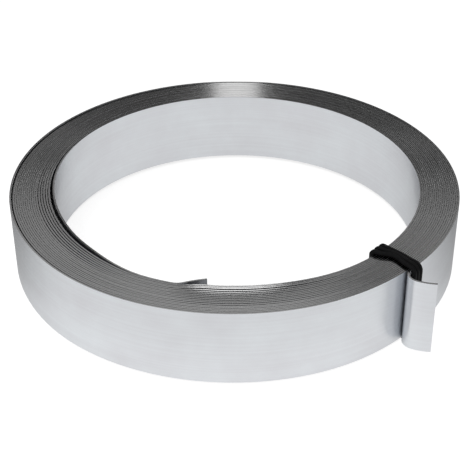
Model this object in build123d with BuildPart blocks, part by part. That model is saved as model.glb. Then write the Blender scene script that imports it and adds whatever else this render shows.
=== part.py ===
from build123d import *
from math import cos, radians, sin
import os

# Steel strapping, cold rolled and slit to width, wound flat into a short coil that lies on its end.
# A rubber tie round the coil's section keeps the turns together.
# The coil's axis is Z and the floor is at zero, under the tie.

# Strip
band_width = 30.0
band_thickness = 0.8

# Coil
bore_diameter = 145.0
turns = 20
winding_gap = 0.1
edge_step = 0.15

# Tail, the free outer end, which bends away from the coil just past the tie
tail_azimuth = -44.9
tail_bend_radius = 4.2
tail_bend_angle = 108.0
tail_curl_radius = 18.0
tail_curl_angle = 20.0
tail_end_length = 0.8

# Hook, the inner end, which is kinked into the bore
hook_azimuth = -107.5
hook_bend_radius = 6.0
hook_bend_angle = 38.0
hook_tip_radius = 40.0
hook_tip_angle = 12.0

# The innermost turn has sprung off the next one and stands free of it over more than half the bore.
# Each row is an azimuth counted on from the hook, and the gap there as a share of the widest gap.
loose_gap = 1.5
loose_gap_shares = (
    (0.0, 0.10),
    (8.0, 0.08),
    (17.0, 0.17),
    (33.0, 0.60),
    (52.0, 1.00),
    (78.0, 0.97),
    (108.0, 0.72),
    (138.0, 0.50),
    (163.0, 0.33),
    (192.0, 0.13),
)
# Past its loose stretch the innermost turn runs into the winding, as shares of the strip's thickness.
run_in_shares = (
    (224.0, 0.18),
    (254.0, 0.42),
    (288.0, 0.65),
    (320.0, 0.85),
)

# Rubber tie
tie_azimuth = -43.4
tie_width = 4.4
tie_thickness = 1.6
tie_under_thickness = 1.2
tie_clearance = 0.15
tie_edge_chamfer = 0.4

# Places that follow from the sizes above
bore_radius = bore_diameter / 2
outer_radius = bore_radius + turns * band_thickness
coil_base = tie_under_thickness + tie_clearance
coil_top = coil_base + band_width
inner_turn_count = 1
outer_turn_count = 2
winding_turns = turns - inner_turn_count - outer_turn_count
winding_bore = bore_radius + inner_turn_count * band_thickness
winding_radius = winding_bore + winding_turns * band_thickness
root_overlap = band_thickness / 4
quarter_turn = 90.0
quarters = 4


def polar(radius, azimuth):
    """Give the point of the plan at a distance from the axis, in a direction in degrees from +X."""
    return Vector(radius * cos(radians(azimuth)), radius * sin(radians(azimuth)))


def winding_outline():
    """Give the section of the tight turns, whose edges slope up and down by turns at both ends of the coil."""
    lower = []
    upper = []
    for seam in range(winding_turns + 1):
        seam_radius = winding_bore + seam * band_thickness
        stands_proud = (winding_turns - seam) % 2 == 0
        depth = 0.0 if stands_proud else edge_step
        lower.append((seam_radius, coil_base + depth))
        upper.append((seam_radius, coil_top - depth))
    return lower + upper[::-1]


def innermost_turn_points(face_offset, shares_and_gaps):
    """Give the points of one face of the innermost turn, from the hook on round the bore."""
    return [polar(bore_radius + face_offset - gap, hook_azimuth - angle) for angle, gap in shares_and_gaps]


with BuildPart() as steel_band:
    # The tight turns, turned about the axis
    with BuildSketch(Plane.XZ) as winding_section:
        with BuildLine():
            Polyline(*winding_outline(), close=True)
        make_face()
    revolve(axis=Axis.Z)

    # The two outermost turns as a spiral of four arcs, a strip thickness lower beneath the tail
    with BuildSketch(Plane.XY.offset(coil_base)) as outer_turns:
        with BuildLine():
            spiral_step = (band_thickness + winding_gap) / quarters
            start = polar(outer_radius, tail_azimuth)
            heading = polar(1, tail_azimuth + quarter_turn)
            for quarter in range(quarters):
                arc_radius = outer_radius - (quarter + 1 / 2) * spiral_step
                spiral = JernArc(start, heading, arc_radius, quarter_turn)
                start = spiral @ 1
                heading = spiral % 1
            leaving = polar(1, tail_azimuth - quarter_turn)
            tail_ends = []
            for depth in (0.0, band_thickness):
                root = polar(outer_radius - depth, tail_azimuth)
                bend = JernArc(root, leaving, tail_bend_radius + depth, tail_bend_angle)
                curl = JernArc(bend @ 1, bend % 1, tail_curl_radius + depth, tail_curl_angle)
                end = Line(curl @ 1, curl @ 1 + (curl % 1) * tail_end_length)
                tail_ends.append(end @ 1)
            Line(*tail_ends)
            Line(root, start)
        make_face()
        Circle(winding_radius, mode=Mode.SUBTRACT)
    extrude(amount=band_width)

    # The innermost turn, loose from its hook to where it runs into the winding
    with BuildSketch(Plane.XY.offset(coil_base)) as innermost_turn:
        with BuildLine():
            loose = [(angle, share * loose_gap) for angle, share in loose_gap_shares]
            run_in = [(angle, -share * band_thickness) for angle, share in run_in_shares]
            root_angle = loose[-1][0]
            last_angle = run_in[-1][0]
            bore_points = innermost_turn_points(0.0, loose + run_in)
            back_points = innermost_turn_points(band_thickness, loose)
            hook_heading = polar(1, hook_azimuth + quarter_turn)
            bore_face = Spline(*bore_points[::-1])
            back_face = Spline(*back_points[::-1])
            hook_ends = []
            for face, depth in ((bore_face, 0.0), (back_face, band_thickness)):
                bend = JernArc(face @ 1, hook_heading, hook_bend_radius + depth, hook_bend_angle)
                tip_radius = hook_tip_radius + band_thickness - depth
                tip = JernArc(bend @ 1, bend % 1, tip_radius, -hook_tip_angle)
                hook_ends.append(tip @ 1)
            Line(*hook_ends)
            root_radius = winding_bore + root_overlap
            root_arc = CenterArc((0, 0), root_radius, hook_azimuth - last_angle, last_angle - root_angle)
            Line(bore_face @ 0, root_arc @ 0)
            Line(back_face @ 0, root_arc @ 1)
        make_face()
    extrude(amount=band_width)

with BuildPart() as rubber_tie:
    # A loop round the coil's section, thinner where the coil's weight presses it on the floor
    tie_plane = Plane((0, 0, 0), x_dir=polar(1, tie_azimuth), z_dir=polar(1, tie_azimuth - quarter_turn))
    window_inner = bore_radius - tie_clearance
    window_outer = outer_radius + tie_clearance
    window_top = coil_top + tie_clearance
    loop_middle = (window_inner + window_outer) / 2
    loop_top = window_top + tie_thickness
    loop_depth = window_outer - window_inner + 2 * tie_thickness
    with BuildSketch(tie_plane) as loop_section:
        with Locations((loop_middle, loop_top / 2)):
            RectangleRounded(loop_depth, loop_top, tie_thickness)
        with Locations((loop_middle, (tie_under_thickness + window_top) / 2)):
            Rectangle(window_outer - window_inner, window_top - tie_under_thickness, mode=Mode.SUBTRACT)
    extrude(amount=tie_width / 2, both=True)
    tie_sides = rubber_tie.faces().filter_by(tie_plane)
    chamfer(tie_sides.edges(), tie_edge_chamfer)

os.makedirs("parts", exist_ok=True)
steel_band.part.label = "steel_band"
export_step(steel_band.part, "parts/steel_band.step")
rubber_tie.part.label = "rubber_tie"
export_step(rubber_tie.part, "parts/rubber_tie.step")
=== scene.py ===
"""A short coil of bright steel strapping, tied with black rubber, on a pale studio floor."""

import contextlib
import logging
import math
from dataclasses import dataclass, field
from enum import IntEnum
from typing import Callable, Iterator

import bpy
from mathutils import Matrix, Vector


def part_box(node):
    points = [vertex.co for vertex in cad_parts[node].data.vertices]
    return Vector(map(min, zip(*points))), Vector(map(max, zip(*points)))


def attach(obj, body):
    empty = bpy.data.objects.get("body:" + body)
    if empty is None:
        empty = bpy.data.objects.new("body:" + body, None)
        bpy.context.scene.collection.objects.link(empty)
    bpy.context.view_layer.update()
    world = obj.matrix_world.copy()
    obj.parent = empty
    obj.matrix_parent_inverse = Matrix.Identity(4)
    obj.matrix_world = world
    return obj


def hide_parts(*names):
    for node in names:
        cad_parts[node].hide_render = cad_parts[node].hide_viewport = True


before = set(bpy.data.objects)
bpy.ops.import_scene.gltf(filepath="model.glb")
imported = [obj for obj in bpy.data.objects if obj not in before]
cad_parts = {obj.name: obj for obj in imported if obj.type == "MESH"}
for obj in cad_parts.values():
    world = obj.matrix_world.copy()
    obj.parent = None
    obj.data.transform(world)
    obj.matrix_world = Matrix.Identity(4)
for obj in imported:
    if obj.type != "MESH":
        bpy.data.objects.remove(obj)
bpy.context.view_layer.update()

log = logging.getLogger("strapping_coil")

MM = 0.001
BODY = "root"


class StripSide(IntEnum):
    """The surfaces of the strip, in the order of its material slots."""

    ROLLED = 0
    SLIT = 1


def deselect_all() -> None:
    """Clear the selection, which the loaded frame leaves full."""
    bpy.ops.object.select_all(action="DESELECT")


def make_active(piece: bpy.types.Object) -> None:
    """Select one piece alone and make it the active one."""
    deselect_all()
    piece.select_set(True)
    bpy.context.view_layer.objects.active = piece


@contextlib.contextmanager
def edit_mode(piece: bpy.types.Object) -> Iterator[None]:
    """Enter edit mode on one piece and leave it again.

    Args:
        piece: the mesh or curve object to edit.
    """
    make_active(piece)
    bpy.ops.object.mode_set(mode="EDIT")
    yield
    bpy.ops.object.mode_set(mode="OBJECT")


def select_edges(piece: bpy.types.Object, wanted: Callable[[Vector, Vector], bool]) -> None:
    """Select the edges of a mesh in object mode by the places of their two ends.

    Args:
        piece: the mesh object, in object mode.
        wanted: says of two end points whether their edge is selected.
    """
    bpy.context.tool_settings.mesh_select_mode = (False, True, False)
    mesh = piece.data
    for vertex in mesh.vertices:
        vertex.select = False
    for face in mesh.polygons:
        face.select = False
    for edge in mesh.edges:
        first, last = (mesh.vertices[i].co for i in edge.vertices)
        edge.select = wanted(first, last)


def select_points(piece: bpy.types.Object, wanted: Callable[[Vector], bool]) -> None:
    """Select the vertices of a mesh in object mode by their places.

    Args:
        piece: the mesh object, in object mode.
        wanted: says of a point whether it is selected.
    """
    bpy.context.tool_settings.mesh_select_mode = (True, False, False)
    mesh = piece.data
    for face in mesh.polygons:
        face.select = False
    for edge in mesh.edges:
        edge.select = False
    for vertex in mesh.vertices:
        vertex.select = wanted(vertex.co)


def apply_modifier(piece: bpy.types.Object, kind: str, **values: object) -> None:
    """Add a modifier to a piece, set its values and apply it.

    Args:
        piece: the mesh object.
        kind: the modifier's type.
        values: the modifier's properties.
    """
    make_active(piece)
    modifier = piece.modifiers.new(kind.lower(), kind)
    for name, value in values.items():
        setattr(modifier, name, value)
    bpy.ops.object.modifier_apply(modifier=modifier.name)


def smooth_step(value: float) -> float:
    """Ease from 0 to 1 as the value goes from 0 to 1."""
    share = min(max(value, 0.0), 1.0)
    return share * share * (3 - 2 * share)


class NodeBench:
    """A short way to add nodes to a tree and link them."""

    def __init__(self, tree: bpy.types.NodeTree) -> None:
        """Take an empty tree.

        Args:
            tree: the node tree that is filled.
        """
        self.tree = tree

    def add(self, kind: str, **settings: object) -> bpy.types.Node:
        """Add a node.

        Args:
            kind: the node's type name.
            settings: properties of the node, or values of its inputs by name with spaces as underscores.

        Returns:
            The new node.
        """
        node = self.tree.nodes.new(kind)
        for name, value in settings.items():
            socket_name = name.replace("_", " ")
            if hasattr(node, name):
                setattr(node, name, value)
            else:
                node.inputs[socket_name].default_value = value
        return node

    def link(self, source: bpy.types.NodeSocket, target: bpy.types.NodeSocket) -> None:
        """Join an output to an input."""
        self.tree.links.new(source, target)

    def math(self, operation: str, *inputs: float | bpy.types.NodeSocket) -> bpy.types.NodeSocket:
        """Add a Math node.

        Args:
            operation: the operation's name.
            inputs: numbers, or outputs to link.

        Returns:
            The node's output.
        """
        node = self.add("ShaderNodeMath", operation=operation)
        for socket, value in zip(node.inputs, inputs):
            if isinstance(value, bpy.types.NodeSocket):
                self.link(value, socket)
            else:
                socket.default_value = value
        return node.outputs["Value"]

    def fade(
        self, value: bpy.types.NodeSocket, start: float, end: float, low: float = 0.0, high: float = 1.0
    ) -> bpy.types.NodeSocket:
        """Add a smooth fade between two levels.

        Args:
            value: the output that drives the fade.
            start: the value where the fade starts.
            end: the value where it ends.
            low: the level up to the start.
            high: the level from the end on.

        Returns:
            The level's output.
        """
        node = self.add("ShaderNodeMapRange", interpolation_type="SMOOTHSTEP")
        for name, level in (("From Min", start), ("From Max", end), ("To Min", low), ("To Max", high)):
            node.inputs[name].default_value = level
        self.link(value, node.inputs["Value"])
        return node.outputs["Result"]


def new_material(name: str) -> tuple[bpy.types.Material, NodeBench]:
    """Make an empty node material.

    Args:
        name: the material's name.

    Returns:
        The material and a bench on its emptied tree.
    """
    material = bpy.data.materials.new(name)
    material.use_nodes = True
    material.node_tree.nodes.clear()
    return material, NodeBench(material.node_tree)


@dataclass(frozen=True)
class StripGrain:
    """The fine lines that rolling and slitting leave along a strip, as a shared node group."""

    name: str = "strip_grain"
    line_scale: float = 900.0
    line_detail: float = 3.0
    line_roughness: float = 0.6
    stretch: float = 0.012
    cloud_scale: float = 42.0
    cloud_detail: float = 4.0
    cloud_roughness: float = 0.55

    def group(self) -> bpy.types.NodeTree:
        """Build the group once, and give it again afterwards.

        Returns:
            The node group, with a vector input and the outputs Lines and Clouds.
        """
        made = bpy.data.node_groups.get(self.name)
        if made:
            return made
        tree = bpy.data.node_groups.new(self.name, "ShaderNodeTree")
        tree.interface.new_socket("Place", in_out="INPUT", socket_type="NodeSocketVector")
        tree.interface.new_socket("Lines", in_out="OUTPUT", socket_type="NodeSocketFloat")
        tree.interface.new_socket("Clouds", in_out="OUTPUT", socket_type="NodeSocketFloat")
        bench = NodeBench(tree)
        entry = bench.add("NodeGroupInput")
        leave = bench.add("NodeGroupOutput")
        stretched = bench.add("ShaderNodeMapping", Scale=(self.stretch, 1.0, 1.0))
        bench.link(entry.outputs["Place"], stretched.inputs["Vector"])
        lines = bench.add(
            "ShaderNodeTexNoise", Scale=self.line_scale, Detail=self.line_detail, Roughness=self.line_roughness
        )
        bench.link(stretched.outputs["Vector"], lines.inputs["Vector"])
        clouds = bench.add(
            "ShaderNodeTexNoise", Scale=self.cloud_scale, Detail=self.cloud_detail, Roughness=self.cloud_roughness
        )
        bench.link(entry.outputs["Place"], clouds.inputs["Vector"])
        bench.link(lines.outputs["Fac"], leave.inputs["Lines"])
        bench.link(clouds.outputs["Fac"], leave.inputs["Clouds"])
        return tree


@dataclass(frozen=True)
class MetalFinish:
    """A bare steel surface with grain along the strip, which can darken the strip's inner end with painted shade.
    """

    name: str
    dark: tuple[float, float, float]
    light: tuple[float, float, float]
    roughness_low: float
    roughness_high: float
    bump: float
    anisotropy: float
    spread_turn: float
    bump_depth: float = 0.05 * MM
    edge_tint: float = 1.0
    # The next three set a painted shade at the strip's inner end: the share of the colour left there, and the
    # lengths along the strip over which it fades back to full.
    hook_shade_share: float = 1.0
    hook_shade_from: float = 6.0 * MM
    hook_shade_to: float = 10.0 * MM
    line_share: float = 0.5
    cloud_share: float = 0.5
    strip_map: str = "strip"
    grain: StripGrain = field(default_factory=StripGrain)

    def material(self) -> bpy.types.Material:
        """Build the finish.

        Returns:
            The material.
        """
        material, bench = new_material(self.name)
        output = bench.add("ShaderNodeOutputMaterial")
        shader = bench.add("ShaderNodeBsdfPrincipled", Metallic=1.0, Anisotropic=self.anisotropy)
        shader.inputs["Anisotropic Rotation"].default_value = self.spread_turn
        shader.inputs["Specular Tint"].default_value = (*(self.edge_tint,) * 3, 1.0)
        bench.link(shader.outputs["BSDF"], output.inputs["Surface"])
        place = bench.add("ShaderNodeUVMap", uv_map=self.strip_map)
        grain = bench.add("ShaderNodeGroup", node_tree=self.grain.group())
        bench.link(place.outputs["UV"], grain.inputs["Place"])
        colour = bench.add("ShaderNodeMix", data_type="RGBA")
        colour.inputs["A"].default_value = (*self.dark, 1.0)
        colour.inputs["B"].default_value = (*self.light, 1.0)
        lines = bench.math("MULTIPLY", grain.outputs["Lines"], self.line_share)
        shares = bench.math("MULTIPLY_ADD", grain.outputs["Clouds"], self.cloud_share, lines)
        bench.link(shares, colour.inputs["Factor"])
        # Painted shade: the colour is darkened towards the strip's inner end, the hook.
        end_shade_mix = bench.add("ShaderNodeMix", data_type="RGBA", blend_type="MULTIPLY")
        end_shade_mix.inputs["Factor"].default_value = 1.0
        bench.link(colour.outputs["Result"], end_shade_mix.inputs["A"])
        bench.link(self.painted_end_shade(bench, place), end_shade_mix.inputs["B"])
        bench.link(end_shade_mix.outputs["Result"], shader.inputs["Base Color"])
        spread = self.roughness_high - self.roughness_low
        roughness = bench.math("MULTIPLY_ADD", grain.outputs["Clouds"], spread, self.roughness_low)
        bench.link(roughness, shader.inputs["Roughness"])
        bump = bench.add("ShaderNodeBump", Strength=self.bump, Distance=self.bump_depth)
        bench.link(grain.outputs["Lines"], bump.inputs["Height"])
        bench.link(bump.outputs["Normal"], shader.inputs["Normal"])
        tangent = bench.add("ShaderNodeTangent", direction_type="UV_MAP", uv_map=self.strip_map)
        bench.link(tangent.outputs["Tangent"], shader.inputs["Tangent"])
        return material

    def painted_end_shade(self, bench: NodeBench, place: bpy.types.Node) -> bpy.types.NodeSocket:
        """Give the painted shade that darkens the colour of the strip's inner end, the hook.

        Args:
            bench: the bench of the material.
            place: the node that gives the place along the strip.

        Returns:
            A grey that darkens the end as painted shade and is white away from it.
        """
        along = bench.add("ShaderNodeSeparateXYZ")
        bench.link(place.outputs["UV"], along.inputs["Vector"])
        return bench.fade(along.outputs["X"], self.hook_shade_from, self.hook_shade_to, self.hook_shade_share)


ROLLED_FACE = MetalFinish(
    name="rolled_face",
    dark=(0.617, 0.600, 0.629),
    light=(0.900, 0.952, 0.976),
    roughness_low=0.24,
    roughness_high=0.36,
    bump=0.10,
    anisotropy=0.45,
    spread_turn=0.25,
    edge_tint=0.68,
    # The hook's colour is darkened to this share as painted shade.
    hook_shade_share=0.35,
    line_share=0.3,
    cloud_share=0.7,
)
SLIT_EDGE = MetalFinish(
    name="slit_edge",
    dark=(0.335, 0.335, 0.335),
    light=(0.555, 0.555, 0.555),
    roughness_low=0.08,
    roughness_high=0.15,
    bump=0.05,
    anisotropy=0.5,
    spread_turn=0.0,
)


@dataclass(frozen=True)
class RubberFinish:
    """Matt black rubber with a fine dusty skin."""

    name: str = "black_rubber_skin"
    dark: tuple[float, float, float] = (0.003, 0.003, 0.0033)
    light: tuple[float, float, float] = (0.008, 0.008, 0.0085)
    roughness: float = 0.55
    gloss: float = 0.12
    skin_scale: float = 900.0
    skin_detail: float = 4.0
    bump: float = 0.25
    bump_depth: float = 0.08 * MM

    def material(self) -> bpy.types.Material:
        """Build the finish.

        Returns:
            The material.
        """
        material, bench = new_material(self.name)
        output = bench.add("ShaderNodeOutputMaterial")
        shader = bench.add("ShaderNodeBsdfPrincipled", Roughness=self.roughness)
        shader.inputs["Specular IOR Level"].default_value = self.gloss
        bench.link(shader.outputs["BSDF"], output.inputs["Surface"])
        place = bench.add("ShaderNodeTexCoord")
        skin = bench.add("ShaderNodeTexNoise", Scale=self.skin_scale, Detail=self.skin_detail)
        bench.link(place.outputs["Object"], skin.inputs["Vector"])
        colour = bench.add("ShaderNodeMix", data_type="RGBA")
        colour.inputs["A"].default_value = (*self.dark, 1.0)
        colour.inputs["B"].default_value = (*self.light, 1.0)
        bench.link(skin.outputs["Fac"], colour.inputs["Factor"])
        bench.link(colour.outputs["Result"], shader.inputs["Base Color"])
        bump = bench.add("ShaderNodeBump", Strength=self.bump, Distance=self.bump_depth)
        bench.link(skin.outputs["Fac"], bump.inputs["Height"])
        bench.link(bump.outputs["Normal"], shader.inputs["Normal"])
        return material


@dataclass
class PlanWalk:
    """A walk over the plan in straight and round steps, which notes the points that it passes."""

    place: Vector
    heading: float
    points: list[Vector] = field(default_factory=list)

    def __post_init__(self) -> None:
        """Note the starting point."""
        self.points.append(self.place.copy())

    def straight(self, length: float, step: float) -> None:
        """Walk straight on.

        Args:
            length: the distance.
            step: the greatest distance between two points.
        """
        count = max(1, math.ceil(length / step))
        for _ in range(count):
            self.place = self.place + Vector((math.cos(self.heading), math.sin(self.heading))) * (length / count)
            self.points.append(self.place.copy())

    def turn(self, radius: float, angle: float, step: float) -> None:
        """Walk along an arc, to the left where the angle is positive.

        Args:
            radius: the arc's radius.
            angle: how far the heading turns, in degrees.
            step: the greatest distance between two points.
        """
        sweep = math.radians(angle)
        count = max(2, math.ceil(abs(sweep) * radius / step))
        side = math.copysign(1.0, sweep)
        to_centre = self.heading + side * math.pi / 2
        centre = self.place + Vector((math.cos(to_centre), math.sin(to_centre))) * radius
        for number in range(1, count + 1):
            away = to_centre + math.pi + sweep * number / count
            self.place = centre + Vector((math.cos(away), math.sin(away))) * radius
            self.points.append(self.place.copy())
        self.heading += sweep


@dataclass(frozen=True)
class PathPoint:
    """A point that the strip's middle follows, and how far the strip leans over there in degrees."""

    place: Vector
    lean: float = 0.0


@dataclass(frozen=True)
class LeaningStretch:
    """A part of the coil where the inner turns have sprung loose and lean over into the bore.

    The angles are counted in degrees on from the hook. The leans are those of one turn after the other.
    """

    leans: tuple[float, ...]
    opens_from: float
    opens_full: float
    closes_from: float
    closes_end: float

    def lean_at(self, angle: float) -> float:
        """Give how far the strip leans at a place.

        Args:
            angle: the wound angle in degrees.

        Returns:
            The lean in degrees, 0 outside the stretch.
        """
        turn = math.floor((angle - self.opens_from) / 360.0)
        if not 0 <= turn < len(self.leans):
            return 0.0
        place = angle - 360.0 * turn
        opening = smooth_step((place - self.opens_from) / (self.opens_full - self.opens_from))
        closing = smooth_step((self.closes_end - place) / (self.closes_end - self.closes_from))
        return self.leans[turn] * opening * closing


@dataclass(frozen=True)
class EdgeWave:
    """One of the waves by which the turns stand up and down, counted over the turns."""

    share: float
    rate: float
    start: float = 0.0

    def at(self, turn: float) -> float:
        """Give the wave's height at a turn."""
        return self.share * math.sin(self.rate * turn + self.start)


@dataclass
class SteelBand:
    """The strip: made straight with its slit edges rounded, and then wound along its path."""

    node: str = "steel_band"
    slot: str = "bright_steel"
    width: float = 30.0 * MM
    thickness: float = 0.8 * MM
    seam: float = 0.03 * MM
    bore_radius: float = 72.5 * MM
    outer_radius: float = 88.5 * MM
    whole_turns: int = 18
    turn_step: float = 1.5
    bend_step: float = 0.25 * MM
    end_reach: float = 17.0 * MM
    rough_cuts: int = 99
    end_cuts: int = 9
    inner_round: float = 0.14 * MM
    outer_round: float = 0.06 * MM
    round_segments: int = 3
    smooth_angle: float = 40.0
    rolled_facing: float = 0.9
    nearness: float = 0.01 * MM

    hook_azimuth: float = -107.5
    hook_bend_radius: float = 6.0 * MM
    hook_bend_angle: float = 38.0
    hook_tip_radius: float = 40.0 * MM
    hook_tip_angle: float = 12.0

    tail_azimuth: float = -44.9
    tail_bend_radius: float = 4.2 * MM
    tail_bend_angle: float = 108.0
    tail_curl_radius: float = 18.0 * MM
    tail_curl_angle: float = 20.0
    tail_end_length: float = 0.8 * MM

    stretches: tuple[LeaningStretch, ...] = (
        LeaningStretch(
            leans=(4.4, 2.0, 1.6, 1.2, 0.8, 0.4),
            opens_from=8.0,
            opens_full=32.0,
            closes_from=45.0,
            closes_end=112.0,
        ),
        LeaningStretch(
            leans=(4.2, 4.2, 4.2, 3.3, 2.7, 2.2, 1.8, 1.5, 1.2, 0.9, 0.6, 0.3),
            opens_from=300.0,
            opens_full=343.0,
            closes_from=350.0,
            closes_end=360.0,
        ),
    )
    lift_gap: float = 0.8 * MM
    lift_middle: float = 175.0
    lift_reach: float = 130.0
    bulge: float = 0.42 * MM
    bulge_middle: float = 352.5
    bulge_full: float = 30.0
    bulge_reach: float = 60.0
    telescope: float = 0.05 * MM
    waves: tuple[EdgeWave, ...] = (EdgeWave(1.0, 2.39), EdgeWave(0.6, 5.71, 1.3), EdgeWave(0.4, 17.3))

    def wound_angle(self) -> float:
        """Give the whole angle of the winding from hook to tail, in degrees."""
        first_pass = (self.hook_azimuth - self.tail_azimuth) % 360.0
        return first_pass + 360.0 * self.whole_turns

    def radius_at(self, angle: float) -> float:
        """Give the radius of the strip's middle at an angle on from the hook.

        Args:
            angle: the wound angle in degrees.

        Returns:
            The radius in metres.
        """
        whole = self.wound_angle()
        first = self.bore_radius + self.thickness / 2
        last = self.outer_radius - self.thickness / 2
        radius = first + (last - first) * angle / whole
        lean = self.width / 2 * math.tan(math.radians(self.lean_at(angle)))
        lift = smooth_step(1.0 - abs(whole - angle - self.lift_middle) / self.lift_reach)
        off_bulge = abs((angle - self.bulge_middle + 180.0) % 360.0 - 180.0)
        bulge = smooth_step((self.bulge_reach - off_bulge) / (self.bulge_reach - self.bulge_full))
        return radius - lean + self.lift_gap * lift + self.bulge * bulge

    def lean_at(self, angle: float) -> float:
        """Give how far the strip leans over into the bore about its lower edge, in degrees."""
        return sum(stretch.lean_at(angle) for stretch in self.stretches)

    def height_at(self, angle: float) -> float:
        """Give how far a turn stands up or down out of the coil's ends, in metres."""
        return self.telescope * sum(wave.at(angle / 360.0) for wave in self.waves) / 2

    def middle_height(self) -> float:
        """Give the height of the strip's middle over the floor, from the frame."""
        low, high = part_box(self.node)
        return (low.z + high.z) / 2

    def path(self) -> list[PathPoint]:
        """Give the points that the strip's middle follows, from the hook's tip to the tail's end.

        Returns:
            Points in the row frame.
        """
        half = self.thickness / 2
        hook_start = Vector((1.0, 0.0))
        hook_start.rotate(Matrix.Rotation(math.radians(self.hook_azimuth), 2))
        hook = PlanWalk(hook_start * self.radius_at(0.0), math.radians(self.hook_azimuth + 90.0))
        hook.turn(self.hook_bend_radius + half, self.hook_bend_angle, self.bend_step)
        hook.turn(self.hook_tip_radius + half, -self.hook_tip_angle, self.bend_step)

        whole = self.wound_angle()
        level = self.middle_height()
        steps = round(whole / self.turn_step)
        coil = []
        for number in range(1, steps + 1):
            angle = whole * number / steps
            azimuth = math.radians(self.hook_azimuth - angle)
            radius = self.radius_at(angle)
            height = level + self.height_at(angle)
            spot = Vector((radius * math.cos(azimuth), radius * math.sin(azimuth), height))
            coil.append(PathPoint(spot, self.lean_at(angle)))

        tail = PlanWalk(coil[-1].place.xy, math.radians(self.tail_azimuth - 90.0))
        tail.turn(self.tail_bend_radius + half, self.tail_bend_angle, self.bend_step)
        tail.turn(self.tail_curl_radius + half, self.tail_curl_angle, self.bend_step)
        tail.straight(self.tail_end_length, self.bend_step)

        hook_height = level + self.height_at(0.0)
        tail_height = level + self.height_at(whole)
        points = [PathPoint(Vector((*spot, hook_height))) for spot in reversed(hook.points)]
        points += coil
        points += [PathPoint(Vector((*spot, tail_height))) for spot in tail.points[1:]]
        return points

    def guide(self, points: list[PathPoint]) -> bpy.types.Object:
        """Make the guide curve that the strip is wound on.

        Args:
            points: the points of the path.

        Returns:
            A curve object.
        """
        curve = bpy.data.curves.new("winding_guide", "CURVE")
        curve.dimensions = "3D"
        curve.twist_mode = "Z_UP"
        curve.use_path = True
        curve.use_stretch = True
        curve.use_deform_bounds = True
        spline = curve.splines.new("POLY")
        spline.points.add(len(points) - 1)
        for spot, point in zip(spline.points, points):
            spot.co = (*point.place, 1.0)
            spot.tilt = math.radians(point.lean)
        guide = bpy.data.objects.new("winding_guide", curve)
        bpy.context.scene.collection.objects.link(guide)
        return guide

    def on_corner(self, point: Vector, side: float) -> bool:
        """Say whether a point of the straight strip lies on its long corners on one side.

        Args:
            point: the point.
            side: -1 for the side that faces the bore when wound, or 1 for the other.

        Returns:
            True on the two corners of that side.
        """
        at_end = abs(point.z) > self.width / 2 - self.nearness
        return at_end and point.y * side > (self.thickness - self.seam) / 2 - self.nearness

    def runs_along(self, first: Vector, last: Vector) -> bool:
        """Say whether an edge of the straight strip runs along its length."""
        return abs(first.x - last.x) > self.nearness

    def straight_strip(self, length: float) -> bpy.types.Object:
        """Model the strip laid straight, with rounded slit edges and cuts across its length.

        Args:
            length: the strip's length.

        Returns:
            The strip, along +X from the origin.
        """
        deselect_all()
        bpy.ops.mesh.primitive_cube_add(size=1.0, location=(length / 2, 0.0, 0.0))
        strip = bpy.context.object
        strip.name = "strapping_strip"
        strip.scale = (length, self.thickness - self.seam, self.width)
        bpy.ops.object.transform_apply(location=True, rotation=False, scale=True)

        for side, size in ((-1.0, self.inner_round), (1.0, self.outer_round)):
            select_edges(
                strip,
                lambda a, b: self.on_corner(a, side) and self.on_corner(b, side) and self.runs_along(a, b),
            )
            with edit_mode(strip):
                bpy.ops.mesh.bevel(offset=size, segments=self.round_segments, profile=0.5, affect="EDGES")

        steps = self.wound_angle() / self.turn_step / 2
        fine_cuts = math.ceil(steps / (self.rough_cuts + 1)) - 1
        for cuts in (self.rough_cuts, fine_cuts):
            select_edges(strip, self.runs_along)
            with edit_mode(strip):
                bpy.ops.mesh.subdivide(number_cuts=cuts)
        reach = self.end_reach
        select_edges(
            strip,
            lambda a, b: self.runs_along(a, b) and (max(a.x, b.x) < reach or min(a.x, b.x) > length - reach),
        )
        with edit_mode(strip):
            bpy.ops.mesh.subdivide(number_cuts=self.end_cuts)
        return strip

    def mark_surfaces(self, strip: bpy.types.Object) -> None:
        """Give the straight strip its map along the length, and tell its rolled faces from its slit edges.

        Args:
            strip: the straight strip.
        """
        mesh = strip.data
        mesh.materials.clear()
        mesh.materials.append(ROLLED_FACE.material())
        mesh.materials.append(SLIT_EDGE.material())
        while mesh.uv_layers:
            mesh.uv_layers.remove(mesh.uv_layers[0])
        strip_map = mesh.uv_layers.new(name=ROLLED_FACE.strip_map)
        for face in mesh.polygons:
            rolled = abs(face.normal.y) > self.rolled_facing
            face.material_index = StripSide.ROLLED if rolled else StripSide.SLIT
            for corner in face.loop_indices:
                spot = mesh.vertices[mesh.loops[corner].vertex_index].co
                strip_map.data[corner].uv = (spot.x, spot.z if rolled else spot.z + spot.y)

    def build(self) -> bpy.types.Object:
        """Model, wind and dress the strip.

        Returns:
            The finished piece.
        """
        points = self.path()
        length = sum((b.place - a.place).length for a, b in zip(points, points[1:]))
        strip = self.straight_strip(length)
        self.mark_surfaces(strip)
        guide = self.guide(points)
        apply_modifier(strip, "CURVE", object=guide, deform_axis="POS_X")
        bpy.data.objects.remove(guide)
        make_active(strip)
        bpy.ops.object.shade_smooth_by_angle(angle=math.radians(self.smooth_angle))
        apply_modifier(strip, "WEIGHTED_NORMAL", mode="FACE_AREA", keep_sharp=True)
        log.info("strip of %.2f m wound, %d faces", length, len(strip.data.polygons))
        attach(strip, BODY)
        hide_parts(self.node)
        return strip


@dataclass(frozen=True)
class StrandRow:
    """How the strands lie side by side at one point of the loop: the row's middle, and the step between them."""

    middle: float
    step: float


@dataclass(frozen=True)
class LoopPoint:
    """A point on a strand's way round the coil's section, with the row of strands as it lies there.

    The holds are the lengths of the Bezier handles before and after the point. The spread is the strand's
    thickness there, as a share of its usual one.
    """

    reach: float
    rise: float
    way: tuple[int, int]
    hold_before: float
    hold_after: float
    spread: float
    row: StrandRow


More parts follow.
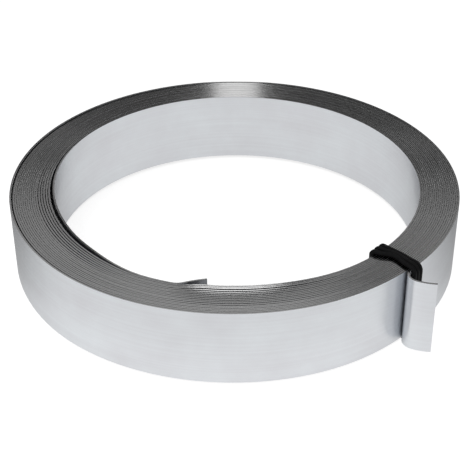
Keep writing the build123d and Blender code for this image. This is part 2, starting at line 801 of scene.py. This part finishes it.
@dataclass
class RubberTie:
    """The rubber tie: strands of one band, close together on top of the coil and fanned out at its walls."""

    node: str = "rubber_tie"
    slot: str = "black_rubber"
    azimuth: float = -43.4
    strand_rises: tuple[float, ...] = (0.0, 0.14 * MM, 0.06 * MM)
    strand_radius: float = 0.86 * MM
    lip_spread: float = 1.12
    inner_run: float = 72.05 * MM
    middle_run: float = 80.0 * MM
    outer_run: float = 89.4 * MM
    outer_bulge: float = 0.55 * MM
    top_run: float = 32.22 * MM
    under_run: float = 0.6 * MM
    corner: float = 1.1 * MM
    shoulder: float = 2.6 * MM
    round_hold: float = 0.552
    loop_resolution: int = 8
    round_resolution: int = 4
    smooth_angle: float = 60.0
    weld: float = 0.001 * MM
    rows: tuple[StrandRow, ...] = (
        StrandRow(middle=-0.4 * MM, step=1.5 * MM),
        StrandRow(middle=-0.8 * MM, step=1.6 * MM),
        StrandRow(middle=-0.9 * MM, step=1.7 * MM),
        StrandRow(middle=-0.9 * MM, step=1.75 * MM),
        StrandRow(middle=-0.8 * MM, step=1.7 * MM),
        StrandRow(middle=0.2 * MM, step=1.35 * MM),
        StrandRow(middle=-1.1 * MM, step=2.4 * MM),
        StrandRow(middle=-1.6 * MM, step=2.7 * MM),
        StrandRow(middle=-0.5 * MM, step=1.6 * MM),
    )

    def build(self) -> bpy.types.Object:
        """Model the strands and join them.

        Returns:
            The finished piece.
        """
        loops = [self.strand(number) for number in range(len(self.strand_rises))]
        make_active(loops[0])
        for loop in loops:
            loop.select_set(True)
        bpy.ops.object.join()
        tie = bpy.context.object
        tie.name = "rubber_band"
        tie.data.materials.clear()
        tie.data.materials.append(RubberFinish().material())
        make_active(tie)
        bpy.ops.object.shade_smooth_by_angle(angle=math.radians(self.smooth_angle))
        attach(tie, BODY)
        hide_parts(self.node)
        log.info("rubber tie of %d strands, %d faces", len(loops), len(tie.data.polygons))
        return tie

    def strand(self, number: int) -> bpy.types.Object:
        """Model one strand as a loop round the coil's section, pressed flat under the coil.

        Args:
            number: the strand's place in the row.

        Returns:
            A closed mesh tube.
        """
        deselect_all()
        bpy.ops.curve.primitive_bezier_circle_add(radius=1.0)
        loop = bpy.context.object
        curve = loop.data
        curve.dimensions = "3D"
        curve.resolution_u = self.loop_resolution
        spline = curve.splines[0]
        points = self.loop_points(self.strand_rises[number])
        spline.bezier_points.add(len(points) - len(spline.bezier_points))
        turn = Matrix.Rotation(math.radians(self.azimuth), 3, "Z")
        place = number - (len(self.strand_rises) - 1) / 2
        for spot, point in zip(spline.bezier_points, points):
            spot.handle_left_type = "FREE"
            spot.handle_right_type = "FREE"
            here = Vector((point.reach, point.row.middle + place * point.row.step, point.rise))
            way = Vector((point.way[0], 0.0, point.way[1]))
            spot.co = turn @ here
            spot.radius = point.spread
            spot.handle_left = turn @ (here - way * point.hold_before)
            spot.handle_right = turn @ (here + way * point.hold_after)
        curve.bevel_depth = self.strand_radius
        curve.bevel_resolution = self.round_resolution
        bpy.ops.object.convert(target="MESH")
        strand = bpy.context.object
        with edit_mode(strand):
            bpy.ops.mesh.select_all(action="SELECT")
            bpy.ops.mesh.remove_doubles(threshold=self.weld)
            bpy.ops.mesh.normals_make_consistent(inside=False)
        pressed = self.under_run * 2
        squeeze = pressed / (self.under_run + self.strand_radius)
        select_points(strand, lambda point: point.z < pressed)
        with edit_mode(strand):
            bpy.ops.transform.resize(value=(1.0, 1.0, squeeze), center_override=(0.0, 0.0, pressed))
        return strand

    def loop_points(self, rise: float) -> list[LoopPoint]:
        """Give the Bezier points of a strand's loop, from under the bore round by the outer wall.

        Args:
            rise: how far the strand stands over its row on top of the coil.

        Returns:
            The points in order.
        """
        inner, middle, outer, bulge = self.inner_run, self.middle_run, self.outer_run, self.outer_bulge
        low, top = self.under_run, self.top_run + rise
        lip = (self.lip_spread - 1.0) * self.strand_radius
        bow, shoulder = self.corner, self.shoulder
        bow_hold, shoulder_hold = bow * self.round_hold, shoulder * self.round_hold
        up_hold, over_hold = (top - low) / 3, (outer - inner) / 6
        runs = [
            (inner + bow, low, (1, 0), bow_hold, over_hold, 1.0),
            (outer - bow, low, (1, 0), over_hold, bow_hold, 1.0),
            (outer, low + bow, (0, 1), bow_hold, up_hold, 1.0),
            (outer + bulge, top - shoulder, (0, 1), up_hold, shoulder_hold, 1.0),
            (outer + bulge - shoulder, top, (-1, 0), shoulder_hold, over_hold, 1.0),
            (middle, top, (-1, 0), over_hold, over_hold, 1.0),
            (inner + bow, top + lip, (-1, 0), over_hold, bow_hold, self.lip_spread),
            (inner, top + lip - bow, (0, -1), bow_hold, up_hold, self.lip_spread),
            (inner, low + bow, (0, -1), up_hold, bow_hold, 1.0),
        ]
        return [LoopPoint(*run, row) for run, row in zip(runs, self.rows)]


@dataclass
class PhotoCamera:
    """A camera at the photograph's place, from the fit of the coil's rims."""

    place: tuple[float, float, float] = (0.14 * MM, -410.5 * MM, 274.6 * MM)
    target: tuple[float, float, float] = (0.14 * MM, 0.0, 5.2 * MM)
    roll: float = -0.29
    lens: float = 91.94
    sensor: float = 36.0

    def build(self) -> bpy.types.Object:
        """Make the camera and set it as the scene's.

        Returns:
            The camera object.
        """
        data = bpy.data.cameras.new("photo_camera")
        data.lens = self.lens
        data.sensor_width = self.sensor
        camera = bpy.data.objects.new("photo_camera", data)
        bpy.context.scene.collection.objects.link(camera)
        place = Vector(self.place)
        look = (Vector(self.target) - place).to_track_quat("-Z", "Y").to_matrix().to_4x4()
        camera.matrix_world = Matrix.Translation(place) @ look @ Matrix.Rotation(math.radians(self.roll), 4, "Z")
        bpy.context.scene.camera = camera
        return camera


@dataclass
class Lamp:
    """One soft lamp of the studio."""

    name: str
    place: tuple[float, float, float]
    target: tuple[float, float, float]
    size: tuple[float, float]
    power: float
    in_reflections: bool = True

    def build(self) -> bpy.types.Object:
        """Make the lamp.

        Returns:
            The light object.
        """
        data = bpy.data.lights.new(self.name, "AREA")
        data.shape = "RECTANGLE"
        data.size, data.size_y = self.size
        data.energy = self.power
        lamp = bpy.data.objects.new(self.name, data)
        bpy.context.scene.collection.objects.link(lamp)
        place = Vector(self.place)
        lamp.location = place
        lamp.rotation_euler = (Vector(self.target) - place).to_track_quat("-Z", "Y").to_euler()
        lamp.visible_glossy = self.in_reflections
        return lamp


@dataclass
class Studio:
    """A pale floor, a white surround, a grey panel overhead and soft lamps."""

    floor_reach: float = 6.0
    floor_colour: float = 0.34
    floor_levels: tuple[tuple[float, float], ...] = (
        (0.0, 0.75),
        (0.074, 0.75),
        (0.09, 0.87),
        (0.125, 0.68),
    )
    fill: float = 0.85
    mirrored_share: float = 0.8
    side_depth: float = 0.52
    side_from: float = 0.080
    side_full: float = 0.092
    side_opens: float = -0.075
    side_closes: float = 0.035
    panel_height: float = 1.2
    panel_reach: float = 10.0
    panel_sides: int = 64
    panel_middle: float = -0.1
    panel_near_level: float = 0.26
    panel_near_end: float = 0.4
    panel_far_from: float = 1.0
    panel_levels: tuple[tuple[float, float], ...] = (
        (0.0, 0.22),
        (1.0, 0.22),
        (1.42, 0.76),
        (1.50, 0.76),
        (1.61, 0.43),
        (1.89, 0.50),
        (2.09, 0.015),
    )
    flag_place: tuple[float, float] = (0.39, 1.60)
    flag_core: float = 0.04
    flag_reach: float = 0.16
    flag_depth: float = 0.9
    lamps: tuple[Lamp, ...] = (
        Lamp(
            name="front_softbox",
            place=(-0.25, -0.35, 0.9),
            target=(0.0, 0.0, 0.0),
            size=(0.7, 0.7),
            power=4.0,
            in_reflections=False,
        ),
        Lamp(
            name="rear_strip",
            place=(0.002, 0.5512, 0.2674),
            target=(0.001, 0.1012, 0.0374),
            size=(0.038, 0.12),
            power=0.0245,
        ),
        Lamp(
            name="rear_top",
            place=(-0.003, 0.5144, 0.3393),
            target=(-0.004, 0.0644, 0.1093),
            size=(0.07, 0.0416),
            power=0.0211,
        ),
    )

    def build(self) -> None:
        """Set up the whole studio."""
        self.world()
        self.floor()
        self.panel()
        for lamp in self.lamps:
            lamp.build()

    def shown_rays(self, bench: NodeBench) -> bpy.types.NodeSocket:
        """Give a mask of the rays that show the background: camera, glossy and transmission rays.

        Args:
            bench: the bench of the tree that needs the mask.

        Returns:
            The mask's output.
        """
        rays = bench.add("ShaderNodeLightPath")
        mirrored = bench.math("MAXIMUM", rays.outputs["Is Camera Ray"], rays.outputs["Is Glossy Ray"])
        return bench.math("MAXIMUM", mirrored, rays.outputs["Is Transmission Ray"])

    def shown_share(self, bench: NodeBench, dim: float | bpy.types.NodeSocket = 0.0) -> bpy.types.NodeSocket:
        """Give how bright the surround shows, which is full to the camera and less in the steel.

        Args:
            bench: the bench of the tree that needs the share.
            dim: how far it is dimmed further in the steel.

        Returns:
            The share's output.
        """
        rays = bench.add("ShaderNodeLightPath")
        loss = bench.math("MULTIPLY_ADD", dim, -self.mirrored_share, self.mirrored_share - 1.0)
        return bench.math("MULTIPLY_ADD", rays.outputs["Is Glossy Ray"], loss, 1.0)

    def beside_coil(self, bench: NodeBench, place: bpy.types.Node) -> bpy.types.NodeSocket:
        """Give how dim the floor lies beside the coil and behind its sides, out of the softbox's reach.

        Args:
            bench: the bench of the floor's material.
            place: the node that gives the place on the floor.

        Returns:
            The loss of light, 0 elsewhere.
        """
        parts = bench.add("ShaderNodeSeparateXYZ")
        bench.link(place.outputs["Object"], parts.inputs["Vector"])
        aside = bench.math("ABSOLUTE", parts.outputs["X"])
        beside = bench.fade(aside, self.side_from, self.side_full, high=self.side_depth)
        behind = bench.fade(parts.outputs["Y"], self.side_opens, self.side_closes)
        return bench.math("MULTIPLY", beside, behind)

    def level_by_reach(
        self, bench: NodeBench, place: bpy.types.Node, levels: tuple[tuple[float, float], ...]
    ) -> bpy.types.NodeSocket:
        """Give a grey that changes with the distance from the middle of a stage piece.

        Args:
            bench: the bench of the piece's material.
            place: the node that gives the place on the piece.
            levels: distances in metres from the middle outwards, each with the grey there.

        Returns:
            The grey's output.
        """
        reach = bench.add("ShaderNodeVectorMath", operation="LENGTH")
        bench.link(place.outputs["Object"], reach.inputs[0])
        last_reach = levels[-1][0]
        share = bench.math("DIVIDE", reach.outputs["Value"], last_reach)
        fade = bench.add("ShaderNodeValToRGB")
        ramp = fade.color_ramp
        ramp.interpolation = "EASE"
        for _ in levels[2:]:
            ramp.elements.new(1.0)
        for stop, (distance, level) in zip(ramp.elements, levels):
            stop.position = distance / last_reach
            stop.color = (level, level, level, 1.0)
        bench.link(share, fade.inputs["Fac"])
        return fade.outputs["Color"]

    def world(self) -> None:
        """Make a surround that shows white and fills the shadows softly."""
        world = bpy.data.worlds.new("white_surround")
        bpy.context.scene.world = world
        world.use_nodes = True
        world.node_tree.nodes.clear()
        bench = NodeBench(world.node_tree)
        output = bench.add("ShaderNodeOutputWorld")
        mix = bench.add("ShaderNodeMixShader")
        fill = bench.add("ShaderNodeBackground", Color=(1.0, 1.0, 1.0, 1.0), Strength=self.fill)
        white = bench.add("ShaderNodeBackground", Color=(1.0, 1.0, 1.0, 1.0))
        bench.link(self.shown_share(bench), white.inputs["Strength"])
        bench.link(self.shown_rays(bench), mix.inputs["Fac"])
        bench.link(fill.outputs["Background"], mix.inputs[1])
        bench.link(white.outputs["Background"], mix.inputs[2])
        bench.link(mix.outputs["Shader"], output.inputs["Surface"])

    def floor(self) -> bpy.types.Object:
        """Make the floor, which shows white but keeps the shadow, and glows most close round the coil.

        Returns:
            The floor object.
        """
        deselect_all()
        bpy.ops.mesh.primitive_plane_add(size=self.floor_reach)
        floor = bpy.context.object
        floor.name = "studio_floor"
        material, bench = new_material("pale_floor")
        output = bench.add("ShaderNodeOutputMaterial")
        place = bench.add("ShaderNodeTexCoord")
        share = self.shown_share(bench, self.beside_coil(bench, place))
        matt = bench.add("ShaderNodeBsdfDiffuse")
        bench.link(bench.math("MULTIPLY", share, self.floor_colour), matt.inputs["Color"])
        glow = bench.add("ShaderNodeEmission", Color=(1.0, 1.0, 1.0, 1.0))
        level = self.level_by_reach(bench, place, self.floor_levels)
        bench.link(bench.math("MULTIPLY", share, level), glow.inputs["Strength"])
        both = bench.add("ShaderNodeAddShader")
        mix = bench.add("ShaderNodeMixShader")
        bench.link(matt.outputs["BSDF"], both.inputs[0])
        bench.link(glow.outputs["Emission"], both.inputs[1])
        bench.link(self.shown_rays(bench), mix.inputs["Fac"])
        bench.link(matt.outputs["BSDF"], mix.inputs[1])
        bench.link(both.outputs["Shader"], mix.inputs[2])
        bench.link(mix.outputs["Shader"], output.inputs["Surface"])
        floor.data.materials.append(material)
        return floor

    def panel(self) -> bpy.types.Object:
        """Hang a panel overhead that only shows in the metal, with a light arc, a dark part behind and a dark flag.

        Returns:
            The panel object.
        """
        deselect_all()
        bpy.ops.mesh.primitive_circle_add(
            vertices=self.panel_sides,
            radius=self.panel_reach,
            fill_type="NGON",
            location=(self.panel_middle, 0.0, self.panel_height),
        )
        panel = bpy.context.object
        panel.name = "overhead_panel"
        material, bench = new_material("grey_panel")
        output = bench.add("ShaderNodeOutputMaterial")
        place = bench.add("ShaderNodeTexCoord")
        parts = bench.add("ShaderNodeSeparateXYZ")
        bench.link(place.outputs["Object"], parts.inputs["Vector"])
        behind = bench.fade(parts.outputs["Y"], self.panel_near_end, self.panel_far_from)
        halves = bench.add("ShaderNodeMix", data_type="RGBA")
        halves.inputs["A"].default_value = (*(self.panel_near_level,) * 3, 1.0)
        bench.link(self.level_by_reach(bench, place, self.panel_levels), halves.inputs["B"])
        bench.link(behind, halves.inputs["Factor"])
        away = bench.add("ShaderNodeVectorMath", operation="DISTANCE")
        away.inputs[1].default_value = (*self.flag_place, 0.0)
        bench.link(place.outputs["Object"], away.inputs[0])
        past_flag = bench.fade(away.outputs["Value"], self.flag_core, self.flag_reach, 1.0 - self.flag_depth)
        glow = bench.add("ShaderNodeEmission")
        bench.link(past_flag, glow.inputs["Strength"])
        bench.link(halves.outputs["Result"], glow.inputs["Color"])
        bench.link(glow.outputs["Emission"], output.inputs["Surface"])
        panel.data.materials.append(material)
        panel.visible_camera = False
        panel.visible_diffuse = False
        panel.visible_transmission = False
        panel.visible_shadow = False
        return panel


def main() -> None:
    """Build the coil, its tie and the studio round them."""
    logging.basicConfig(level=logging.INFO, format="%(name)s: %(message)s")
    bpy.context.scene.view_settings.view_transform = "Standard"
    PhotoCamera().build()
    SteelBand().build()
    RubberTie().build()
    Studio().build()


if __name__ == "__main__":
    main()
